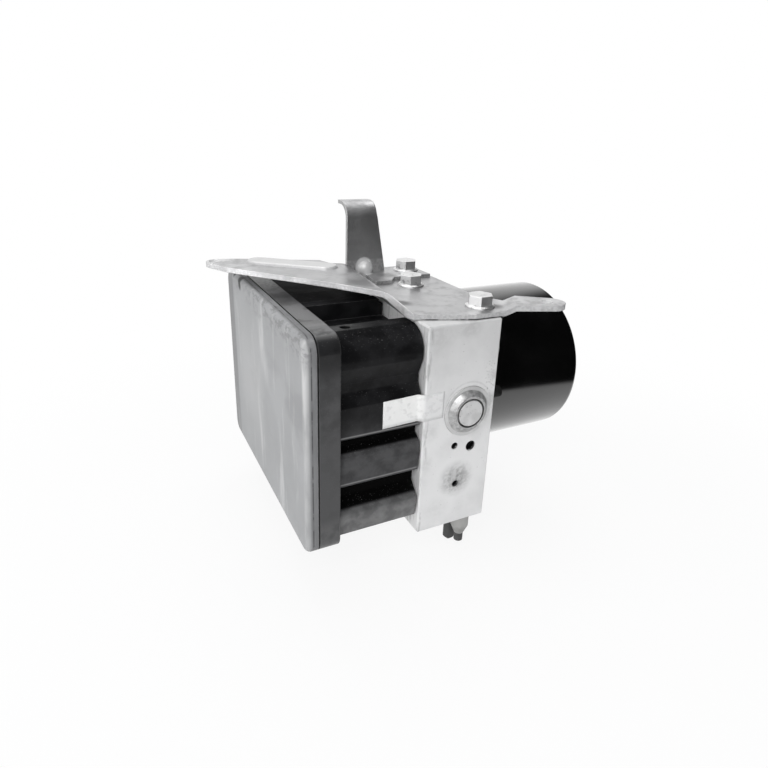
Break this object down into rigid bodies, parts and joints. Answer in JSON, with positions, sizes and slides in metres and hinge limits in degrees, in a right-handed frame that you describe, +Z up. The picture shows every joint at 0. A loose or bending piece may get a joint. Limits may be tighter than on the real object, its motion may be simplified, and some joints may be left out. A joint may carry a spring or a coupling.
{
  "type": "abs brake module",
  "caption": "Anti-lock brake module: plastic control unit on an aluminium valve block, with pump motor and folded steel mounting bracket.",
  "frame": {"origin": "axis of the fixing hole at the tip of the bracket's wing, at the sheet's lower face", "axes": "+X from the control unit through the valve block to the motor, along the motor shaft; +Y along the pump bore, away from the side with the larger closing plug in view; +Z up, out of the bracket's plate and along the fixing holes"},
  "size_m": [0.169, 0.133, 0.162],
  "materials": {
    "cover_grey": "matte mid grey, faintly scuffed",
    "black_plastic": "satin black moulding",
    "inner_plastic": "dark brush holder plastic",
    "board": "green circuit board",
    "contacts": "tinned brass contacts",
    "copper": "copper windings",
    "steel": "plain steel",
    "raw_aluminium": "raw extruded aluminium, faint stains",
    "zinc": "light zinc plate",
    "rubber": "black rubber",
    "motor_black": "glossy black coating",
    "magnet": "dark ferrite",
    "carbon": "carbon",
    "peg_white": "off-white plastic"
  },
  "bodies": {
    "module": {"accumulator_cap_far": "steel", "accumulator_cap_near": "steel", "accumulator_spring_far": "steel", "accumulator_spring_near": "steel", "bracket_bolts": "zinc", "bracket_plate": "zinc", "bracket_tab": "zinc", "brush_holder": "inner_plastic", "carbon_brushes": "carbon", "circuit_board": "board", "coil_windings": "copper", "coil_yokes": "steel", "connector_pins": "contacts", "contact_pin": "contacts", "cover_seal": "rubber", "drill_plugs": "steel", "ecu_cover": "cover_grey", "ecu_housing": "black_plastic", "ecu_screws": "zinc", "front_bearing": "steel", "housing_seal": "rubber", "inlet_valves": "steel", "location_peg": "peg_white", "motor_can": "motor_black", "motor_flange": "motor_black", "motor_magnets": "magnet", "motor_screws": "zinc", "motor_seal": "rubber", "outlet_valves": "steel", "peg_sleeve": "rubber", "piston_spring_far": "steel", "piston_spring_near": "steel", "port_cap": "rubber", "pump_cylinder_far": "steel", "pump_cylinder_near": "steel", "pump_plug_far": "raw_aluminium", "pump_plug_near": "raw_aluminium", "rear_bearing": "steel", "valve_block": "raw_aluminium"},
    "rotor": {"motor_shaft": "steel", "eccentric_bearing": "steel", "commutator": "copper", "armature_core": "steel", "armature_windings": "copper"},
    "near_pump_piston": {"pump_piston_near": "steel"},
    "far_pump_piston": {"pump_piston_far": "steel"},
    "near_accumulator": {"accumulator_piston_near": "steel"},
    "far_accumulator": {"accumulator_piston_far": "steel"},
    "inlet_valve_1": {"inlet_plunger_1": "steel"},
    "outlet_valve_1": {"outlet_plunger_1": "steel"},
    "inlet_valve_2": {"inlet_plunger_2": "steel"},
    "outlet_valve_2": {"outlet_plunger_2": "steel"},
    "inlet_valve_3": {"inlet_plunger_3": "steel"},
    "outlet_valve_3": {"outlet_plunger_3": "steel"},
    "inlet_valve_4": {"inlet_plunger_4": "steel"},
    "outlet_valve_4": {"outlet_plunger_4": "steel"}
  },
  "joints": [
    {"name": "rotor_spin", "type": "hinge", "parent": "module", "child": "rotor", "pos_m": [0.0634, -0.0546, -0.049], "axis": [1, 0, 0], "continuous": true},
    {"name": "near_piston_slide", "type": "slide", "parent": "module", "child": "near_pump_piston", "axis": [0, -1, 0], "range_m": [0, 0.002], "stiffness_N_per_m": 800, "springref_m": -0.004},
    {"name": "far_piston_slide", "type": "slide", "parent": "module", "child": "far_pump_piston", "axis": [0, 1, 0], "range_m": [0, 0.002], "stiffness_N_per_m": 800, "springref_m": -0.004},
    {"name": "near_accumulator_slide", "type": "slide", "parent": "module", "child": "near_accumulator", "axis": [0, 0, 1], "range_m": [0, 0.006], "stiffness_N_per_m": 1500, "springref_m": -0.006, "deforming": ["accumulator_spring_near"]},
    {"name": "far_accumulator_slide", "type": "slide", "parent": "module", "child": "far_accumulator", "axis": [0, 0, 1], "range_m": [0, 0.006], "stiffness_N_per_m": 1500, "springref_m": -0.006, "deforming": ["accumulator_spring_far"]},
    {"name": "inlet_1_slide", "type": "slide", "parent": "module", "child": "inlet_valve_1", "axis": [1, 0, 0], "range_m": [0, 0.0003], "stiffness_N_per_m": 1500, "springref_m": -0.001},
    {"name": "outlet_1_slide", "type": "slide", "parent": "module", "child": "outlet_valve_1", "axis": [-1, 0, 0], "range_m": [0, 0.0003], "stiffness_N_per_m": 1500, "springref_m": -0.001},
    {"name": "inlet_2_slide", "type": "slide", "parent": "module", "child": "inlet_valve_2", "axis": [1, 0, 0], "range_m": [0, 0.0003], "stiffness_N_per_m": 1500, "springref_m": -0.001},
    {"name": "outlet_2_slide", "type": "slide", "parent": "module", "child": "outlet_valve_2", "axis": [-1, 0, 0], "range_m": [0, 0.0003], "stiffness_N_per_m": 1500, "springref_m": -0.001},
    {"name": "inlet_3_slide", "type": "slide", "parent": "module", "child": "inlet_valve_3", "axis": [1, 0, 0], "range_m": [0, 0.0003], "stiffness_N_per_m": 1500, "springref_m": -0.001},
    {"name": "outlet_3_slide", "type": "slide", "parent": "module", "child": "outlet_valve_3", "axis": [-1, 0, 0], "range_m": [0, 0.0003], "stiffness_N_per_m": 1500, "springref_m": -0.001},
    {"name": "inlet_4_slide", "type": "slide", "parent": "module", "child": "inlet_valve_4", "axis": [1, 0, 0], "range_m": [0, 0.0003], "stiffness_N_per_m": 1500, "springref_m": -0.001},
    {"name": "outlet_4_slide", "type": "slide", "parent": "module", "child": "outlet_valve_4", "axis": [-1, 0, 0], "range_m": [0, 0.0003], "stiffness_N_per_m": 1500, "springref_m": -0.001}
  ]
}
